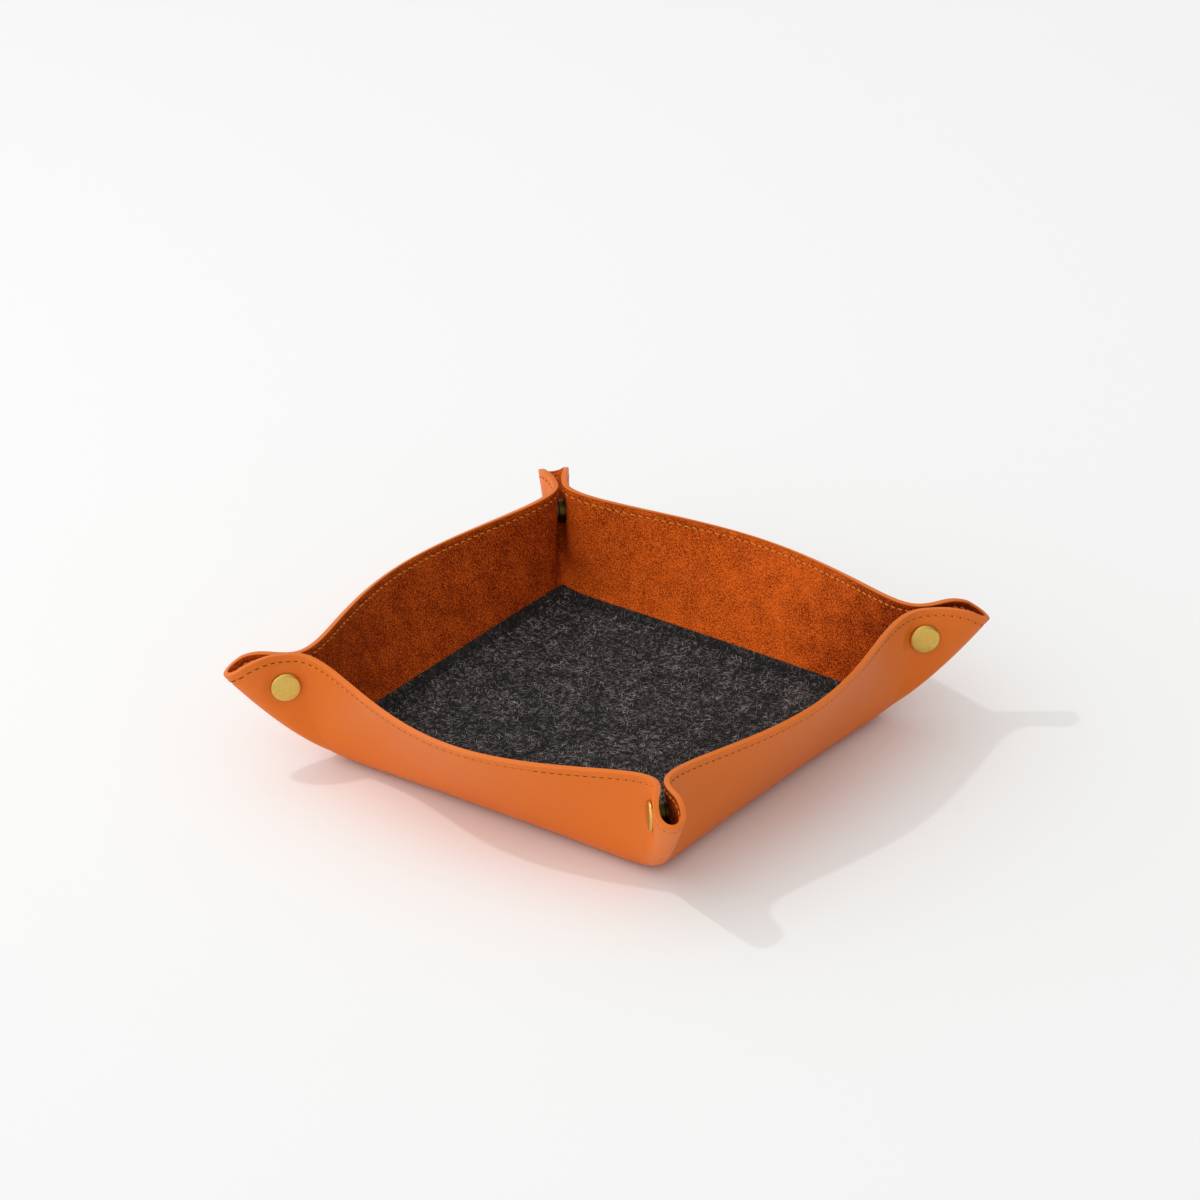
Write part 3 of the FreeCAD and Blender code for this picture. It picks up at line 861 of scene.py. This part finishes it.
def threadPiece(name, places, materials):
    # places: point, direction, outward direction, half sizes in mm and material slot of each stitch
    points, faces, slots = [], [], []
    for point, along, outward, half, slotNumber in places:
        first = len(points) * len(stitchPoints)
        turn = np.stack([along * half[0], np.cross(outward, along) * half[1], outward * half[2]])
        points.append(point + stitchPoints @ turn)
        faces += [tuple(first + i for i in face) for face in stitchFaces]
        slots += [slotNumber] * len(stitchFaces)
    mesh = bpy.data.meshes.new(name)
    mesh.from_pydata((np.concatenate(points) * mm).tolist(), [], faces)
    mesh.polygons.foreach_set("material_index", np.array(slots, np.int32))
    mesh.polygons.foreach_set("use_smooth", np.ones(len(slots), bool))
    for material in materials:
        mesh.materials.append(material)
    mesh.update()
    piece = bpy.data.objects.new(name, mesh)
    scene.collection.objects.link(piece)
    return piece


def seamFrame(along, wall, offset, facing):  # place, direction along, direction up and outward direction
    up = 1.0 - stitch["below"] / rimScale(along, wall)
    point, across, rise, inward = sheetFrame(along, up, wall)
    place = point + inward * offset + upright * fold["leather"]
    return [turned(vectors, wall) for vectors in (place, across, rise, inward * facing)]


def rimStitches(wall, first, last):
    holes = rimStations(wall, first, last, stitch["pitch"])[1:]
    middles = rimStations(wall, first, last, stitch["pitch"] / 2)[1::2]
    places = []
    floors = {"outside": stitch["groove"] - fold["leather"], "inside": liningFace - stitch["groove"]}
    for face, offset in floors.items():
        facing = stitch[face]["facing"]
        half = (stitch[face]["length"] / 2, stitch["radius"], stitch["radius"])
        for point, across, rise, outward in zip(*seamFrame(middles, wall, offset, facing)):
            line = across * math.cos(stitch["slant"]) + rise * math.sin(stitch["slant"]) * facing
            places.append((point + outward * stitch["lift"], line, outward, half, 0))
        # small dark pieces of painted shade at the needle holes
        for point, across, _, outward in zip(*seamFrame(holes, wall, offset, facing)):
            places.append((point, across, outward, stitch[face]["hole"], 1))
    return places


def rimThread():
    still, ears = [], []
    for wall in range(4):
        still += rimStitches(wall, -1.0, flap["cutAt"])
        moving = rimStitches(wall, flap["cutAt"], 1.0)
        ear = threadPiece("rim_thread_ear_" + cornerNames[wall], moving, [tanThread, needleHolePaintedShade])
        bendFlap(ear, wall)
        ears.append(ear)
    body = threadPiece("rim_thread", still, [tanThread, needleHolePaintedShade])
    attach(body, "tray")
    return body, ears


padStitch = {"pitch": 3.4, "lift": 0.1, "size": (1.2, 0.28, 0.28)}  # mm, size in halves


def padThread():
    half = pad["half"] - pad["seam"]
    count = int(round(2 * half / padStitch["pitch"]))
    spots = (np.arange(count) + 0.5) * 2 * half / count - half
    places = []
    for wall in range(4):
        plan = turned(np.column_stack([spots, np.full(count, -half), np.zeros(count)]), wall)
        plan[:, :2] += np.array(pad["middle"])
        plan[:, 2] = liningHeight(plan[:, :2]) + fold["felt"] - pad["channel"] + padStitch["lift"]
        ahead = turned(np.array([1.0, 0.0, 0.0]), wall)
        places += [(spot, ahead, upright, padStitch["size"], 0) for spot in plan]
    piece = threadPiece("pad_thread", places, [darkThread])
    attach(piece, "tray")
    return piece


rimThreadBody, rimThreadEars = rimThread()
padThreadPiece = padThread()
print("threads made")

# Snap caps: low brass domes with a rolled edge
capLook = {
    "radius": 6.45,
    "edge": 0.5,
    "under": 0.93,  # the foot's share of the cap's width, under its rolled edge
    "lift": 0.02,  # foot over the leather
    # inward and up from the edge, over the shoulder and then to the middle of the dome
    "shoulder": ((0.04, 0.2), (0.12, 0.26), (0.22, 0.26), (0.3, 0.2)),
    "dome": ((0.5, 0.14), (1.0, 0.14), (1.6, 0.1), (1.6, 0.04)),
}


def selectFaces(piece, direction):  # the faces that look up, with 1, or down, with -1
    bpy.ops.object.mode_set(mode="OBJECT")
    for face in piece.data.polygons:
        face.select = face.normal.z * direction > 0.9
    bpy.ops.object.mode_set(mode="EDIT")


def makeCap():
    clearSelection()
    bpy.ops.mesh.primitive_cylinder_add(
        vertices=64, radius=capLook["radius"], depth=capLook["edge"], location=(0, 0, capLook["edge"] / 2)
    )
    cap = bpy.context.object
    bpy.ops.object.transform_apply(location=True, rotation=False, scale=False)
    bpy.ops.object.mode_set(mode="EDIT")
    bpy.ops.mesh.select_mode(type="FACE")
    bpy.ops.mesh.select_all(action="DESELECT")
    selectFaces(cap, -1)
    bpy.ops.transform.resize(value=(capLook["under"], capLook["under"], 1.0))
    selectFaces(cap, 1)
    for thickness, depth in capLook["shoulder"] + capLook["dome"]:
        bpy.ops.mesh.inset(thickness=thickness, depth=depth)
    bpy.ops.mesh.poke()
    bpy.ops.object.mode_set(mode="OBJECT")
    bpy.ops.object.shade_smooth_by_angle(angle=math.radians(60))
    return cap


def placeCaps():
    form = makeCap()
    points = np.array([v.co[:] for v in form.data.vertices])
    lift = fold["snapHalf"] + fold["leather"] + capLook["lift"]
    for number, corner in enumerate(cornerNames):
        angle = math.radians(90 * number - 45)
        out = np.array([math.cos(angle), math.sin(angle), 0.0])
        for side, half in ((-1, "socket"), (1, "stud")):
            axis = np.array([-math.sin(angle), math.cos(angle), 0.0]) * side
            middle = out * snapReaches[number] + upright * fold["snapHeight"] + axis * lift
            placed = middle + points @ np.stack([np.cross(upright, axis), upright, axis])
            cap = bpy.data.objects.new("brass_%s_cap_%s" % (half, corner), form.data.copy())
            scene.collection.objects.link(cap)
            cap.data.vertices.foreach_set("co", (placed * mm).ravel())
            cap.data.materials.append(brass)
            cap.data.update()
            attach(cap, "tray" if half == "stud" else "snap_" + corner)
            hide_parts("%s_cap_%s" % (half, corner))
    bpy.data.objects.remove(form)


placeCaps()
# the CAD snap halves take the dark brass: painted shade inside the ears
for corner in cornerNames:
    for half in ("socket_", "stud_"):
        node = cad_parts[half + corner]
        node.data.materials.clear()
        node.data.materials.append(brassWithPaintedShade)
print("snaps made")

# Camera at the photograph's angle
view = {
    "azimuth": 35.946,
    "elevation": 27.911,
    "focal": 7621.5,  # pixels of a 1200 pixel picture
    "distance": 3.1545,  # m
    "pixel": (609.13, 736.96),  # where the middle of the tray's underside shows
    "picture": 1200,
}


def placeCamera():
    azimuth, elevation = math.radians(view["azimuth"]), math.radians(view["elevation"])
    level = math.cos(elevation)
    forward = Vector((-math.sin(azimuth) * level, math.cos(azimuth) * level, -math.sin(elevation)))
    right = Vector((math.cos(azimuth), math.sin(azimuth), 0.0))
    up = right.cross(forward)
    pixelSize = view["distance"] / view["focal"]
    shiftRight = (view["pixel"][0] - view["picture"] / 2) * pixelSize
    shiftUp = (view["picture"] / 2 - view["pixel"][1]) * pixelSize
    data = bpy.data.cameras.new("camera")
    data.sensor_width = 36.0
    data.lens = view["focal"] / view["picture"] * data.sensor_width
    data.clip_end = 50.0
    camera = bpy.data.objects.new("camera", data)
    camera.location = -right * shiftRight - up * shiftUp - forward * view["distance"]
    camera.rotation_euler = forward.to_track_quat("-Z", "Y").to_euler()
    scene.collection.objects.link(camera)
    scene.camera = camera


placeCamera()

# Floor and light
studio = {
    "floor": "#F5F6F5",
    "floorSize": 6.0,  # m
    "floorDrop": 0.00005,  # m under the tray, so that the two faces don't share a plane
    "sky": "#FFFFFF",
    "skyLevel": 0.775,  # brightness of the tent at the table's height
    "skyTilt": 0.55,  # how much brighter its open side is
    "skyRise": 0.2,  # how much brighter its top is
    "skyLeast": 0.08,
    "skySide": -132.0,  # azimuth of the open side, from +X
}
smallKey = {
    "azimuth": -158.0,  # towards the lamp, from +X
    "elevation": 53.0,
    "distance": 1.6,  # m
    "size": 0.06,  # m
    "level": 0.14,  # its light on a white card that faces it
}


def makeFloor():
    clearSelection()
    bpy.ops.mesh.primitive_plane_add(size=studio["floorSize"], location=(0, 0, -studio["floorDrop"]))
    floor = bpy.context.object
    floor.name = "floor"
    board, tree = newMaterial("matt_white_board")[:2]
    shader = addNode(
        tree,
        "ShaderNodeBsdfPrincipled",
        {"Base Color": linear(studio["floor"]), "Roughness": 0.9, "Specular IOR Level": 0.2},
    )
    addNode(tree, "ShaderNodeOutputMaterial", links={"Surface": shader.outputs[0]})
    floor.data.materials.append(board)


def makeTent():  # a white sky that is brighter on one side and at its top
    world = bpy.data.worlds.new("studio")
    scene.world = world
    world.use_nodes = True
    tree = world.node_tree
    sky = tree.nodes["Background"]
    sky.inputs["Color"].default_value = linear(studio["sky"])
    side = math.radians(studio["skySide"])
    slope = (math.cos(side) * studio["skyTilt"], math.sin(side) * studio["skyTilt"], studio["skyRise"])
    direction = addNode(tree, "ShaderNodeTexCoord").outputs["Generated"]
    tilt = addNode(tree, "ShaderNodeVectorMath", {"operation": "DOT_PRODUCT", 1: slope}, {0: direction})
    level = tilt.outputs["Value"]
    for operation, value in (("ADD", studio["skyLevel"]), ("MAXIMUM", studio["skyLeast"])):
        level = addNode(tree, "ShaderNodeMath", {"operation": operation, 1: value}, {0: level}).outputs[0]
    tree.links.new(level, sky.inputs["Strength"])


def addSmallKey():
    azimuth, elevation = math.radians(smallKey["azimuth"]), math.radians(smallKey["elevation"])
    level = math.cos(elevation)
    toward = Vector((math.cos(azimuth) * level, math.sin(azimuth) * level, math.sin(elevation)))
    data = bpy.data.lights.new("smallKey", "AREA")
    data.shape = "DISK"
    data.size = smallKey["size"]
    data.energy = smallKey["level"] * (math.pi * smallKey["distance"]) ** 2
    lamp = bpy.data.objects.new("smallKey", data)
    lamp.location = toward * smallKey["distance"]
    lamp.rotation_euler = (-toward).to_track_quat("-Z", "Y").to_euler()
    scene.collection.objects.link(lamp)


makeFloor()
makeTent()
addSmallKey()
scene.view_settings.view_transform = "Standard"
print("studio made")
